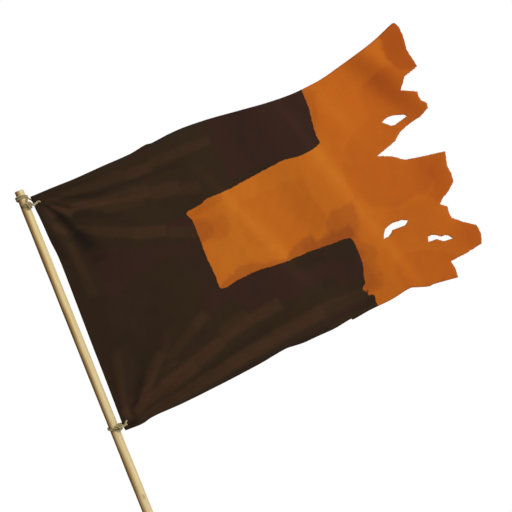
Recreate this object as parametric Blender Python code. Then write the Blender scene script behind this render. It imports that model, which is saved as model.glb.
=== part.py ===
# A tattered flag flying from a wooden pole.
# The cloth is one torn sheet, dark at the hoist and orange at the fly. Each hoist corner is tied to the pole
# with a short length of twine, which passes round the pole, through a hole in the cloth and into a knot.
#
# Frame: the pole stands along +Z with its butt on the origin, the cloth flies towards +X, and its face is
# towards -Y. Places on the flag are written as (x, drop): x is the distance from the pole's axis and drop the
# distance below the pole's top. Both are in millimetres there, and place() turns them into metres.

import math

import bpy
import numpy as np
from mathutils import Vector
from mathutils.geometry import delaunay_2d_cdt

# Driving dimensions, in metres
POLE_LENGTH = 2.10
POLE_TOP_RADIUS = 0.0168
POLE_BUTT_RADIUS = 0.0192
POLE_EDGE = 0.003
POLE_SIDES = 32
CLOTH_THICKNESS = 0.002
TWINE_DIAMETER = 0.0065

# Cloth mesh, in millimetres
GRID = 25.0
FINE_GRID = 13.0
FINE_REACH = 240.0
EDGE_STEP = 22.0
FINE_EDGE_STEP = 11.0
# Grid points stay this share of their spacing away from every edge
EDGE_CLEARANCE = 0.55

# Fits, in millimetres
TWINE_FIT = 0.6
EYE_RADIUS = 4.6
EYE_SIDES = 14

# The hoist corners that the twine pulls on, and the eyes that it passes through
UPPER_CORNER = (30, 35)
LOWER_CORNER = (35, 938)
UPPER_EYE = (44, 64)
LOWER_EYE = (46, 919)

# Top edge, from the hoist to the fly: it sags a little, then the fly corner is blown upwards.
TOP_EDGE = [
    UPPER_CORNER, (110, 34), (200, 34), (310, 29), (415, 25), (478, 15), (506, 17), (575, 10), (640, 8),
    (730, 13), (830, 25), (932, 37), (1030, 42), (1100, 38), (1160, 30), (1230, 13), (1297, -3),
    (1350, -17), (1400, -34), (1452, -55), (1470, -57), (1480, -37),
]
# Torn fly edge, from the top corner down: each lobe has worn back to a different length.
UPPER_LOBE = [(1482, -8), (1479, 18), (1475, 45), (1481, 78), (1488, 118), (1432, 135), (1402, 175)]
MIDDLE_RAG = [(1456, 201), (1454, 215), (1456, 235), (1471, 252), (1468, 270), (1434, 288), (1380, 299)]
LONG_TEAR = [(1343, 313), (1315, 337), (1237, 362), (1287, 384), (1325, 412)]
BROAD_LOBE = [
    (1470, 437), (1461, 470), (1457, 487), (1460, 520), (1456, 549), (1424, 575), (1397, 590), (1381, 605),
]
LOWER_LOBE = [(1402, 624), (1399, 646), (1402, 667), (1437, 697), (1475, 725), (1478, 756), (1466, 791)]
LOWEST_RAG = [(1400, 804), (1341, 809), (1346, 839), (1343, 873)]
FLY_EDGE = UPPER_LOBE + MIDDLE_RAG + LONG_TEAR + BROAD_LOBE + LOWER_LOBE + LOWEST_RAG
# Bottom edge, from the fly back to the hoist
BOTTOM_EDGE = [
    (1343, 873), (1300, 868), (1253, 863), (1233, 864), (1195, 852), (1165, 845), (1093, 858), (1006, 865),
    (940, 874), (931, 869), (865, 879), (800, 882), (747, 885), (710, 883), (677, 881), (625, 888),
    (573, 896), (480, 906), (380, 915), (260, 924), (150, 928), (98, 938), LOWER_CORNER,
]
# Hoist edge, from the lower corner up: it bows away from the pole between the ties.
HOIST_EDGE = [
    LOWER_CORNER, (32, 922), (33, 897), (34, 850), (36, 744), (38, 590), (41, 437), (43, 284), (37, 205),
    (34, 126), (31, 86), (30, 60), UPPER_CORNER,
]
# Three worn holes near the fly
UPPER_HOLE = [
    (1298, 256), (1308, 251), (1325, 247), (1345, 248), (1382, 261), (1388, 269), (1336, 282), (1321, 278),
]
CURVED_HOLE = [
    (1148, 645), (1154, 630), (1165, 616), (1180, 609), (1199, 605), (1233, 608), (1253, 617), (1236, 629),
    (1212, 629), (1189, 628), (1177, 638), (1166, 645),
]
SMALL_HOLE = [
    (1291, 715), (1298, 697), (1312, 697), (1329, 706), (1342, 716), (1354, 715), (1364, 719), (1377, 736),
    (1344, 734), (1331, 724), (1322, 716), (1307, 717),
]

# Waves that run down the cloth: (x at the pole's top, lean of x per drop, half width, height, the drop where
# it is strongest, reach up and down from there). A positive height comes towards the viewer.
WAVES = [
    (620, 0.15, 400, -24, 450, 1200),
    (555, 0.31, 110, 10, 450, 900),
    (730, 0.31, 110, -6, 450, 900),
    (880, 0.32, 110, 12, 450, 900),
    (1070, 0.20, 70, 5, 130, 190),
    (1225, 0.49, 95, -16, 150, 330),
    (1320, 0.64, 60, 7, 0, 150),
    (1150, 0.49, 110, -10, 520, 260),
    (1150, 0.36, 80, 7, 780, 220),
]
# Folds that fan out from a tied corner: (angle below the x direction in degrees, half angle, height, distance
# at which the fold is highest)
UPPER_FAN = [
    (3, 5, 6, 240), (10, 4, -5, 230), (17, 4.5, 7, 230), (25, 4.5, -5, 210), (33, 5, 5, 210), (45, 6, 4, 120),
    (64, 7, -9, 170), (79, 6, 6, 150),
]
LOWER_FAN = [
    (-3, 3, -5, 300), (-8, 3.2, 8, 360), (-13, 3, -7, 300), (-18, 3.6, 8, 280), (-26, 4, -7, 230),
    (-34, 4.2, 8, 210), (-43, 5, 7, 160), (-56, 7, -10, 150), (-76, 6, 6, 170),
]
FAN_FADE = 620.0
FAN_START = 75.0
# The waves die away towards the hoist, over about this distance
STILL_REACH = 420.0

# Twine round the pole: a slanted helix from one bearing in degrees to another, with its drop, tilt and pitch
BEARING_STEP = 15.0
UPPER_TURNS = {"first": 660.0, "last": 95.0, "drop": 21.0, "tilt": 5.5, "pitch": 7.6}
LOWER_TURNS = {"first": 400.0, "last": 65.0, "drop": 892.0, "tilt": -2.0, "pitch": 36.0}
# The rest of each route as (x, y, drop): the upper twine starts on top of its knot, the lower one on the pole
UPPER_START = [
    (13.2, -23.2, 46.3), (17.8, -20.2, 42.5), (21.3, -16.2, 37.5), (21.2, -13.8, 33), (17, -15.4, 30.6),
]
UPPER_THROUGH_EYE = [
    (8, 24, 29.5), (17, 24, 34.5), (27, 17.5, 45), (34, 9.5, 58), (39.8, 7.2, 63.2), (43.9, 2.6, 64),
    (43.6, -2.4, 64), (40.4, -7.2, 64),
]
LOWER_THROUGH_EYE = [
    (27, 16.5, 903.5), (35, 10, 912), (40.8, 7.6, 917.5), (45.8, 3, 919), (45.6, -2.4, 919),
    (42.4, -7.2, 918.8),
]
UPPER_FREE_END = [
    (30.8, -28.2, 68.6), (35.5, -26, 69.2), (41.5, -20.5, 65.5), (47.5, -15.5, 62.5), (54, -12, 62.5),
    (57.5, -11, 67),
]
LOWER_FREE_END = [
    (36.2, -29.3, 918), (39.4, -28.6, 920), (42.8, -25.2, 917.4), (46.2, -21, 912.5), (49.8, -17.2, 908.5),
    (53.5, -14, 905),
]
# Each knot: its centre, the direction of its middle strand, and the lean and half length of its wraps
UPPER_KNOT = {
    "centre": (18.2, -25.2, 63.8), "strand": (0.87, 0.48, 0.12), "lean": (0.288, 0, 0.958), "half": 11.2,
}
LOWER_KNOT = {
    "centre": (22.8, -26.4, 916.5), "strand": (0.85, 0.52, -0.05), "lean": (0.5, 0, 0.87), "half": 10.5,
}
KNOT_WRAPS = 2.0
KNOT_PITCH = 7.6
KNOT_DEPTH = 7.5
WRAP_STEP = 20.0
# The middle strand as (along, down, behind), from past its right end to the turn round its left end
MIDDLE_SHARE = 0.4
PAST_RIGHT_END = (5, 0, 0)
ROUND_LEFT_END = [
    (-1.5, 0, 0.3), (-5.8, -1.8, 0.6), (-8.4, -6.0, -1.3), (-6.6, -8.6, -5.6), (-2.6, -6.0, -8.0),
]
TWINE_STEP = 3.2
TWINE_SIDES = 9
TWINE_LAY = 22.0
TWINE_STRANDS = 3
STRAND_DEPTH = 0.12


def place(x, y, drop):
    """A point given in millimetres from the pole's top, as metres in the part's frame."""
    return Vector((x / 1000, y / 1000, POLE_LENGTH - drop / 1000))


def material(name, colour, roughness):
    made = bpy.data.materials.new(name)
    made.use_nodes = True
    shader = made.node_tree.nodes["Principled BSDF"]
    shader.inputs["Base Color"].default_value = (*colour, 1)
    shader.inputs["Roughness"].default_value = roughness
    return made


def add_mesh(name, points, faces, finish):
    mesh = bpy.data.meshes.new(name)
    mesh.from_pydata(points, [], faces)
    mesh.materials.append(finish)
    mesh.validate()
    mesh.shade_smooth()
    made = bpy.data.objects.new(name, mesh)
    bpy.context.scene.collection.objects.link(made)
    return made


def smooth_line(points, step):
    """A Catmull-Rom curve through the points, read at even steps."""
    known = np.array(points, float)
    padded = np.vstack([2 * known[0] - known[1], known, 2 * known[-1] - known[-2]])
    fine = []
    for a, b, c, d in zip(padded, padded[1:], padded[2:], padded[3:]):
        t = np.linspace(0, 1, 24, endpoint=False)[:, None]
        bends = 2 * b + (c - a) * t + (2 * a - 5 * b + 4 * c - d) * t**2 + (3 * b - a - 3 * c + d) * t**3
        fine.append(bends / 2)
    fine = np.vstack([*fine, known[-1:]])
    return even_line(fine, step)


def even_line(points, step):
    """The same line with its points about one step apart, both ends kept."""
    points = np.array(points, float)
    along = np.concatenate([[0], np.cumsum(np.linalg.norm(np.diff(points, axis=0), axis=1))])
    at = np.linspace(0, along[-1], max(2, round(along[-1] / step) + 1))
    return np.stack([np.interp(at, along, points[:, k]) for k in range(points.shape[1])], axis=1)


def torn_line(points, step):
    """Straight runs between the points, every corner kept."""
    runs = [even_line([a, b], step)[:-1] for a, b in zip(points, points[1:])]
    return np.vstack([*runs, [points[-1]]])


def eye(centre):
    """A round hole for the twine, as a closed loop."""
    turn = np.arange(EYE_SIDES) * math.tau / EYE_SIDES
    return np.stack([centre[0] + EYE_RADIUS * np.cos(turn), centre[1] + EYE_RADIUS * np.sin(turn)], axis=1)


def inside(points, loop):
    """Which points lie inside a closed loop, by counting the edges that a ray crosses."""
    x, y = points[:, :1], points[:, 1:]
    start, end = loop, np.roll(loop, -1, axis=0)
    spans = (start[:, 1] > y) != (end[:, 1] > y)
    rise = np.where(end[:, 1] == start[:, 1], 1e-9, end[:, 1] - start[:, 1])
    crossing = start[:, 0] + (y - start[:, 1]) * (end[:, 0] - start[:, 0]) / rise
    return (spans & (x < crossing)).sum(axis=1) % 2 == 1


def distance_to(points, loop):
    """How far each point is from a closed loop's edges."""
    start, end = loop, np.roll(loop, -1, axis=0)
    run = end - start
    best = np.full(len(points), np.inf)
    for a, d in zip(start, run):
        t = np.clip(((points - a) @ d) / (d @ d), 0, 1)
        best = np.minimum(best, np.linalg.norm(points - a - t[:, None] * d, axis=1))
    return best


def grid_points(spacing, low, high):
    """Points of a triangular grid over a rectangle."""
    rows = np.arange(low[1], high[1], spacing * math.sqrt(3) / 2)
    found = []
    for index, y in enumerate(rows):
        x = np.arange(low[0] + (index % 2) * spacing / 2, high[0], spacing)
        found.append(np.stack([x, np.full(len(x), y)], axis=1))
    return np.vstack(found)


def near_a_corner(points):
    gaps = [np.linalg.norm(points - np.array(corner), axis=1) for corner in (UPPER_CORNER, LOWER_CORNER)]
    return np.minimum(*gaps) < FINE_REACH


def outline():
    """The cloth's whole edge as one closed loop, from the upper hoist corner along the top."""
    hoist = smooth_line(HOIST_EDGE, FINE_EDGE_STEP)
    top = smooth_line(TOP_EDGE, EDGE_STEP)
    bottom = smooth_line(BOTTOM_EDGE, EDGE_STEP)
    fly = torn_line([TOP_EDGE[-1], *FLY_EDGE], EDGE_STEP)
    return np.vstack([top[:-1], fly[:-1], bottom[:-1], hoist[:-1]])


def fold_depth(x, drop):
    """How far the cloth stands behind the pole's centre plane, in millimetres."""
    depth = np.zeros_like(x)
    freedom = 1 - np.exp(-((x / STILL_REACH) ** 2))
    for start, lean, width, height, strongest, reach in WAVES:
        across = (x - start - lean * drop) / width
        down = (drop - strongest) / reach
        depth -= height * np.exp(-(across**2) - down**2) * freedom
    for corner, fan in ((UPPER_CORNER, UPPER_FAN), (LOWER_CORNER, LOWER_FAN)):
        dx, dy = x - corner[0], drop - corner[1]
        distance = np.hypot(dx, dy)
        angle = np.degrees(np.arctan2(dy, dx))
        for bearing, spread, height, peak in fan:
            swell = distance / peak * np.exp(1 - distance / peak)
            fade = np.exp(-((distance / FAN_FADE) ** 2)) * (1 - np.exp(-((distance / FAN_START) ** 4)))
            depth -= height * swell * fade * np.exp(-(((angle - bearing) / spread) ** 2))
    return depth


def add_cloth(finish):
    """The torn sheet: its outline filled with a triangular grid, pushed into folds and made thick."""
    edge = outline()
    holes = [torn_line([*hole, hole[0]], EDGE_STEP)[:-1] for hole in (UPPER_HOLE, CURVED_HOLE, SMALL_HOLE)]
    holes += [eye(UPPER_EYE), eye(LOWER_EYE)]
    loops = [edge, *holes]
    low, high = edge.min(axis=0), edge.max(axis=0)
    coarse = grid_points(GRID, low, high)
    fine = grid_points(FINE_GRID, low, high)
    coarse, fine = coarse[~near_a_corner(coarse)], fine[near_a_corner(fine)]
    filling = []
    for points, spacing in ((coarse, GRID), (fine, FINE_GRID)):
        kept = inside(points, edge)
        for loop in loops:
            kept &= distance_to(points, loop) > EDGE_CLEARANCE * spacing
        for hole in holes:
            kept &= ~inside(points, hole)
        filling.append(points[kept])
    flat = np.vstack([*loops, *filling])
    edges, start = [], 0
    for loop in loops:
        count = len(loop)
        edges += [(start + i, start + (i + 1) % count) for i in range(count)]
        start += count
    flat, _, faces, *_ = delaunay_2d_cdt([Vector(p) for p in flat], edges, [], 1, 1e-4)
    flat = np.array(flat)
    middles = np.array([flat[list(face)].mean(axis=0) for face in faces])
    solid = np.ones(len(faces), bool)
    for hole in holes:
        solid &= ~inside(middles, hole)
    depth = fold_depth(flat[:, 0], flat[:, 1])
    points = [place(x, y, drop) for (x, drop), y in zip(flat, depth)]
    cloth = add_mesh("cloth", points, [face for face, kept in zip(faces, solid) if kept], finish)
    thicken = cloth.modifiers.new("Thickness", "SOLIDIFY")
    thicken.thickness = CLOTH_THICKNESS
    thicken.offset = 0
    return cloth


def add_pole(finish):
    """A tapered wooden pole with both ends eased, turned from its side profile."""
    profile = [
        (0, POLE_LENGTH), (POLE_TOP_RADIUS - POLE_EDGE, POLE_LENGTH),
        (POLE_TOP_RADIUS, POLE_LENGTH - POLE_EDGE),
        (POLE_BUTT_RADIUS, POLE_EDGE), (POLE_BUTT_RADIUS - POLE_EDGE, 0), (0, 0),
    ]
    mesh = bpy.data.meshes.new("pole")
    mesh.from_pydata([(r, 0, z) for r, z in profile], [(i, i + 1) for i in range(len(profile) - 1)], [])
    mesh.materials.append(finish)
    pole = bpy.data.objects.new("pole", mesh)
    bpy.context.scene.collection.objects.link(pole)
    turn = pole.modifiers.new("Turn", "SCREW")
    turn.steps = turn.render_steps = POLE_SIDES
    turn.use_merge_vertices = True
    turn.merge_threshold = 1e-5
    turn.use_smooth_shade = True
    return pole


def pole_radius(drop):
    """The pole's radius at a distance below its top, in millimetres."""
    share = drop / (1000 * POLE_LENGTH)
    return 1000 * (POLE_TOP_RADIUS + (POLE_BUTT_RADIUS - POLE_TOP_RADIUS) * share)


def turns_round_pole(first, last, drop, tilt, pitch):
    """The twine where it lies on the pole."""
    step = math.copysign(BEARING_STEP, last - first)
    bearing = np.radians(np.arange(first, last + step / 2, step))
    radius = pole_radius(drop) + 500 * TWINE_DIAMETER + TWINE_FIT
    level = drop + pitch * bearing / math.tau + tilt * np.sin(bearing)
    return np.stack([radius * np.cos(bearing), radius * np.sin(bearing), level], axis=1)


def wrapped_knot(centre, strand, lean, half):
    """The twine runs back along the knot's middle, turns round its end and wraps forward over itself."""
    along = np.array(strand) / np.linalg.norm(strand)
    down = np.array(lean) / np.linalg.norm(lean)
    behind = np.cross(down, along)
    behind /= np.linalg.norm(behind)
    reach = KNOT_PITCH * KNOT_WRAPS / 2
    right = np.array((reach, 0, 0))
    left_end = np.array(ROUND_LEFT_END) - right
    middle = [right + PAST_RIGHT_END, MIDDLE_SHARE * right, -MIDDLE_SHARE * right, *left_end]
    turn = np.radians(np.arange(0, 360 * KNOT_WRAPS + 1, WRAP_STEP))
    wraps = np.stack([
        KNOT_PITCH * turn / math.tau - reach, half * np.sin(turn), -KNOT_DEPTH * np.cos(turn)], axis=1)
    return centre + np.vstack([middle, wraps]) @ np.stack([along, down, behind])


def tie_route(start, turns, through_eye, knot, free_end):
    """The twine's middle line from its hidden start to its free end, in millimetres."""
    wound = turns_round_pole(**turns)
    pieces = [*start, *wound, *through_eye, *wrapped_knot(**knot), *free_end]
    return smooth_line(pieces, TWINE_STEP)


def strand_profile():
    """The twine's section, lobed by its strands, as a flat closed curve that a bevel can use."""
    curve = bpy.data.curves.new("twine_section", "CURVE")
    curve.dimensions = "2D"
    spline = curve.splines.new("POLY")
    spline.points.add(TWINE_SIDES - 1)
    for i, point in enumerate(spline.points):
        turn = -i * math.tau / TWINE_SIDES
        radius = TWINE_DIAMETER / 2 * (1 - STRAND_DEPTH + STRAND_DEPTH * math.cos(TWINE_STRANDS * turn))
        point.co = (radius * math.cos(turn), radius * math.sin(turn), 0, 1)
    spline.use_cyclic_u = True
    section = bpy.data.objects.new("twine_section", curve)
    section.hide_render = True
    section.display_type = "WIRE"
    bpy.context.scene.collection.objects.link(section)
    return section


def add_tie(name, route, section, finish):
    """One tie: the twine's section carried along its route and turned as the twine is laid."""
    curve = bpy.data.curves.new(name, "CURVE")
    curve.dimensions = "3D"
    curve.bevel_mode = "OBJECT"
    curve.bevel_object = section
    curve.use_fill_caps = True
    curve.twist_mode = "MINIMUM"
    spline = curve.splines.new("POLY")
    spline.points.add(len(route) - 1)
    for i, (point, (x, y, drop)) in enumerate(zip(spline.points, route)):
        point.co = (*place(x, y, drop), 1)
        point.tilt = i * TWINE_STEP / TWINE_LAY * math.tau
    spline.use_smooth = True
    curve.materials.append(finish)
    tie = bpy.data.objects.new(name, curve)
    bpy.context.scene.collection.objects.link(tie)
    return tie


def main():
    for existing in list(bpy.data.objects):
        bpy.data.objects.remove(existing, do_unlink=True)
    wood = material("pale_wood", (0.62, 0.46, 0.25), 0.55)
    canvas = material("dyed_canvas", (0.45, 0.11, 0.01), 0.9)
    twine = material("hemp_twine", (0.36, 0.29, 0.15), 0.85)
    add_pole(wood)
    add_cloth(canvas)
    section = strand_profile()
    upper = tie_route(UPPER_START, UPPER_TURNS, UPPER_THROUGH_EYE, UPPER_KNOT, UPPER_FREE_END)
    lower = tie_route([], LOWER_TURNS, LOWER_THROUGH_EYE, LOWER_KNOT, LOWER_FREE_END)
    add_tie("upper_tie", upper, section, twine)
    add_tie("lower_tie", lower, section, twine)


main()
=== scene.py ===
import math
from itertools import accumulate

import bpy
import numpy as np
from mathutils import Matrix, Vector
from mathutils.geometry import delaunay_2d_cdt


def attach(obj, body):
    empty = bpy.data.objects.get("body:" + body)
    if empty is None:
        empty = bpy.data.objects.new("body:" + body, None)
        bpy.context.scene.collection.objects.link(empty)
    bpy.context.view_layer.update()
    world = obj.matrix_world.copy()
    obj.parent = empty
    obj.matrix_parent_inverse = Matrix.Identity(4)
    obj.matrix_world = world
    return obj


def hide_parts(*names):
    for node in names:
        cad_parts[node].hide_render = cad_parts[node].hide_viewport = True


# A torn cotton flag, dark at the hoist and orange at the fly, tied with hemp twine to a pale wooden pole.
# The pole stands along +Z with its butt on the origin, and the cloth flies towards +X with its face to -Y.
# Places are (x, y, drop) in millimetres, where drop is the distance below the pole's top.

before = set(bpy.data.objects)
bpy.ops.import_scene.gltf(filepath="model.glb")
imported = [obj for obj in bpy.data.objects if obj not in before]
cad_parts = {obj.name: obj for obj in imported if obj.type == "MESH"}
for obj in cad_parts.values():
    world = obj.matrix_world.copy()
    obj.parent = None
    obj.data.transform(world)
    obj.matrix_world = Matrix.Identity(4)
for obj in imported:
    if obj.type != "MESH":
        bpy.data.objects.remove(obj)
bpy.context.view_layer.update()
print("frame loaded:", ", ".join(sorted(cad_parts)))


def inMetres(places):
    # x, y and drop in millimetres, as metres in the object's frame
    places = np.asarray(places, float)
    return np.stack([places[..., 0], places[..., 1], pole["length"] - places[..., 2]], axis=-1) / 1000


def smoothStep(low, high, value):
    # 0 below low, 1 above high, and an S curve between them
    t = np.clip((value - low) / (high - low), 0, 1)
    return t * t * (3 - 2 * t)


def softNoise(x, y, size, seed):
    # random heights from -1 to 1 on a square lattice of that size, joined by S curves
    lattice = np.random.default_rng(seed).uniform(-1, 1, (64, 64))
    column, row = x / size, y / size
    i, j = np.floor(column).astype(int), np.floor(row).astype(int)
    s, t = smoothStep(0, 1, column - i), smoothStep(0, 1, row - j)
    near = lattice[i % 64, j % 64] * (1 - s) + lattice[(i + 1) % 64, j % 64] * s
    far = lattice[i % 64, (j + 1) % 64] * (1 - s) + lattice[(i + 1) % 64, (j + 1) % 64] * s
    return near * (1 - t) + far * t


def unit(directions):
    # the same directions with a length of one
    return directions / np.linalg.norm(directions, axis=-1, keepdims=True)


def bearings(sides):
    # even bearings once round, in radians
    return np.linspace(0, math.tau, sides, endpoint=False)


def evenLine(points, step):
    # the same line with its points about one step apart, both ends kept
    points = np.array(points, float)
    along = np.concatenate([[0], np.cumsum(np.linalg.norm(np.diff(points, axis=0), axis=1))])
    at = np.linspace(0, along[-1], max(2, round(along[-1] / step) + 1))
    return np.stack([np.interp(at, along, column) for column in points.T], axis=1)


def smoothLine(points, step):
    # a Catmull-Rom curve through the points, read at even steps
    known = np.array(points, float)
    padded = np.vstack([2 * known[0] - known[1], known, 2 * known[-1] - known[-2]])
    a, b, c, d = (padded[k:len(padded) - 3 + k, None] for k in range(4))
    t = np.linspace(0, 1, 24, endpoint=False)[None, :, None]
    bends = 2 * b + (c - a) * t + (2 * a - 5 * b + 4 * c - d) * t**2 + (3 * b - a - 3 * c + d) * t**3
    return evenLine(np.vstack([bends.reshape(-1, known.shape[1]) / 2, known[-1:]]), step)


def tornLine(points, step):
    # straight runs between the points, with every corner kept
    return np.vstack([*(evenLine(pair, step)[:-1] for pair in zip(points, points[1:])), points[-1:]])


def insideLoop(points, loop):
    # a point is inside where a level ray from it crosses the loop an odd number of times
    x, y = points[:, :1], points[:, 1:]
    start, end = loop, np.roll(loop, -1, axis=0)
    spans = (start[:, 1] > y) != (end[:, 1] > y)
    rise = np.where(end[:, 1] == start[:, 1], 1e-9, end[:, 1] - start[:, 1])
    crossing = start[:, 0] + (y - start[:, 1]) * (end[:, 0] - start[:, 0]) / rise
    return (spans & (x < crossing)).sum(axis=1) % 2 == 1


def distanceTo(points, line):
    # the shortest distance from each point to a line's straight pieces, a few pieces at a time
    best = np.full(len(points), np.inf)
    pieces = np.hstack([line[:-1], np.diff(line, axis=0)])
    for block in np.array_split(pieces, max(1, len(pieces) // 12)):
        start, run = block[:, :2], block[:, 2:]
        offset = points[:, None] - start
        t = np.clip((offset * run).sum(axis=2) / (run**2).sum(axis=1), 0, 1)
        best = np.minimum(best, np.linalg.norm(offset - t[..., None] * run, axis=2).min(axis=1))
    return best


def closed(loop):
    # the loop with its first point again at its end
    return np.vstack([loop, loop[:1]])


def tubeFaces(rows, columns, start=0):
    # four-sided faces between neighbouring rings, each joined to itself, and a face over each end
    first = np.arange(rows - 1)[:, None] * columns
    here, beside = np.arange(columns), (np.arange(columns) + 1) % columns
    above = first + columns
    sides = np.stack([first + here, first + beside, above + beside, above + here], axis=-1)
    ends = [here[::-1] + start, here + (rows - 1) * columns + start]
    return [*(sides.reshape(-1, 4) + start).tolist(), *(end.tolist() for end in ends)]


def addObject(name, data):
    # a new object at the origin, in the scene
    added = bpy.data.objects.new(name, data)
    bpy.context.scene.collection.objects.link(added)
    return added


def addMesh(name, points, faces, material, uv=None, values=None):
    # one mesh at the origin, with its flat map and its painted values at every point
    mesh = bpy.data.meshes.new(name)
    mesh.from_pydata(np.asarray(points).tolist(), [], faces)
    mesh.shade_smooth()
    mesh.materials.append(material)
    if uv is not None:
        corners = np.empty(len(mesh.loops), np.int32)
        mesh.loops.foreach_get("vertex_index", corners)
        layer = mesh.uv_layers.new(name="flat")
        layer.data.foreach_set("uv", np.asarray(uv, np.float32)[corners].ravel())
    for label, column in (values or {}).items():
        painted = mesh.attributes.new(label, "FLOAT", "POINT")
        painted.data.foreach_set("value", np.asarray(column, np.float32).ravel())
    print(f"{name}: {len(mesh.polygons)} faces")
    return addObject(name, mesh)


def fit(piece, node=None):
    # the piece rides on the object's one body, and may stand for a solid
    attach(piece, "root")
    if node:
        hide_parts(node)
    return piece


def linear(colour):
    # an sRGB hex colour as linear red, green, blue and full alpha
    levels = np.array([int(colour[k:k + 2], 16) for k in (1, 3, 5)]) / 255
    return (*np.where(levels <= 0.04045, levels / 12.92, ((levels + 0.055) / 1.055) ** 2.4), 1)


def newMaterial(name, **sockets):
    # a Principled material with these values on its shader's sockets
    material = bpy.data.materials.new(name)
    material.use_nodes = True
    for socket, value in sockets.items():
        material.node_tree.nodes["Principled BSDF"].inputs[socket.replace("_", " ")].default_value = value
    return material


def addNode(owner, kind, inputs=None, output=0, **settings):
    # one node with its settings, and each input either a value or another node's output, which gives back one
    # output of its own
    node = owner.node_tree.nodes.new("ShaderNode" + kind)
    for setting, value in settings.items():
        setattr(node, setting, value)
    for socket, value in (inputs or {}).items():
        if isinstance(value, bpy.types.NodeSocket):
            owner.node_tree.links.new(value, node.inputs[socket])
        else:
            node.inputs[socket].default_value = value
    return node.outputs[output]


def addCoats(material, colour, coats):
    # lays coats of colour over each other: there is none of a coat where its mask is at low, and its full
    # strength where the mask is at high
    for mask, low, high, strength, over in coats:
        amount = addNode(material, "MapRange", {
            "Value": mask, "From Min": low, "From Max": high, "To Max": strength})
        over = linear(over) if isinstance(over, str) else over
        colour = addNode(material, "Mix", {"Factor": amount, 6: colour, 7: over}, 2, data_type="RGBA")
    return colour


def finishMaterial(material, colour, normal):
    # the colour and the bumped normal go to the shader
    for output, socket in ((colour, "Base Color"), (normal, "Normal")):
        material.node_tree.links.new(output, material.node_tree.nodes["Principled BSDF"].inputs[socket])
    return material


cloth = {
    "flatSize": (1.50, 0.90),  # metres, before it tore
    "thickness": 1.2,
    "grid": 7.0,
    "gridGap": 0.55,  # how clear the grid stays of a line, as a share of its spacing
    "edgeStep": 6.0,
    "tearStep": 20.0,  # the distance to a tear is measured on straight runs of about this length
    "dyeGap": 2.0,  # the dye's line ends this short of the sheet's edge
    "clear": (-200, -200, 1100),  # x towards the hoist, drop above and drop below, all well off the sheet
    "eyeRadius": 3.6,  # the cloth draws in round the twine
    "eyeSides": 24,
    "eyes": [(44, 64), (46, 919)],
    "corners": [(30, 35), (35, 938)],
    "cornerCalm": 120.0,  # a tied corner is pulled free of creases as far as this
    "raggedness": 1.3,  # small teeth along a tear
    "curl": 5.0,  # how far a torn edge turns out of the sheet
    "curlReach": 22.0,
    "curlLength": 70.0,
    # small creases all over: height, size, how they lean across and down, and seed
    "creases": [(1.0, 46, 0.4, 0, 22), (0.5, 21, 0, 0.3, 23)],
    "areaStray": 5.0,  # how far a painted area's edge wanders
    "areaSizes": (30, 14),
    "softEdges": {"paintedShade": 8, "red": 4, "darkPatch": 9},  # a painted area fades over twice this
    # a painted bar is full to the first share of its half width, and gone at the second
    "foldHighlightSides": (0.5, 1.25),
    "foldShadeSides": (0, 1.7),
    "barEnd": 6,
    "mapSize": 1600.0,  # the flat map's side, and how far above the pole's top it starts
    "mapStart": 100.0,
}

topEdge = [
    (30, 35), (110, 34), (200, 34), (310, 29), (415, 25), (478, 15), (506, 17), (575, 10), (640, 8),
    (730, 13), (830, 25), (932, 37), (1030, 42), (1100, 38), (1160, 30), (1230, 13), (1297, -3), (1350, -17),
    (1400, -34), (1452, -55), (1470, -57), (1480, -37),
]
flyEdge = [
    (1480, -37), (1482, -8), (1479, 18), (1475, 45), (1481, 78), (1488, 118), (1432, 135), (1402, 175),
    (1456, 201), (1454, 215), (1456, 235), (1471, 252), (1468, 270), (1434, 288), (1380, 299),  # a narrow rag
    (1343, 313), (1315, 337), (1237, 362), (1287, 384), (1325, 412),  # the longest tear
    (1470, 437), (1461, 470), (1457, 487), (1460, 520), (1456, 549), (1424, 575), (1397, 590), (1381, 605),
    (1402, 624), (1399, 646), (1402, 667), (1437, 697), (1475, 725), (1478, 756), (1466, 791), (1400, 804),
    (1341, 809), (1346, 839), (1343, 873),
]
bottomEdge = [
    (1343, 873), (1300, 868), (1253, 863), (1233, 864), (1195, 852), (1165, 845), (1093, 858), (1006, 865),
    (940, 874), (931, 869), (865, 879), (800, 882), (747, 885), (710, 883), (677, 881), (625, 888),
    (573, 896), (480, 906), (380, 915), (260, 924), (150, 928), (98, 938), (35, 938),
]
hoistEdge = [
    (35, 938), (32, 922), (33, 897), (34, 850), (36, 744), (38, 590), (41, 437), (43, 284), (37, 205),
    (34, 126), (31, 86), (30, 60), (30, 35),
]
wornHoles = [
    [(1298, 256), (1308, 251), (1325, 247), (1345, 248), (1382, 261), (1388, 269), (1336, 282), (1321, 278)],
    [(1148, 645), (1154, 630), (1165, 616), (1180, 609), (1199, 605), (1233, 608), (1253, 617), (1236, 629),
     (1212, 629), (1189, 628), (1177, 638), (1166, 645)],
    [(1291, 715), (1298, 697), (1312, 697), (1329, 706), (1342, 716), (1354, 715), (1364, 719), (1377, 736),
     (1344, 734), (1331, 724), (1322, 716), (1307, 717)],
]
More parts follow.
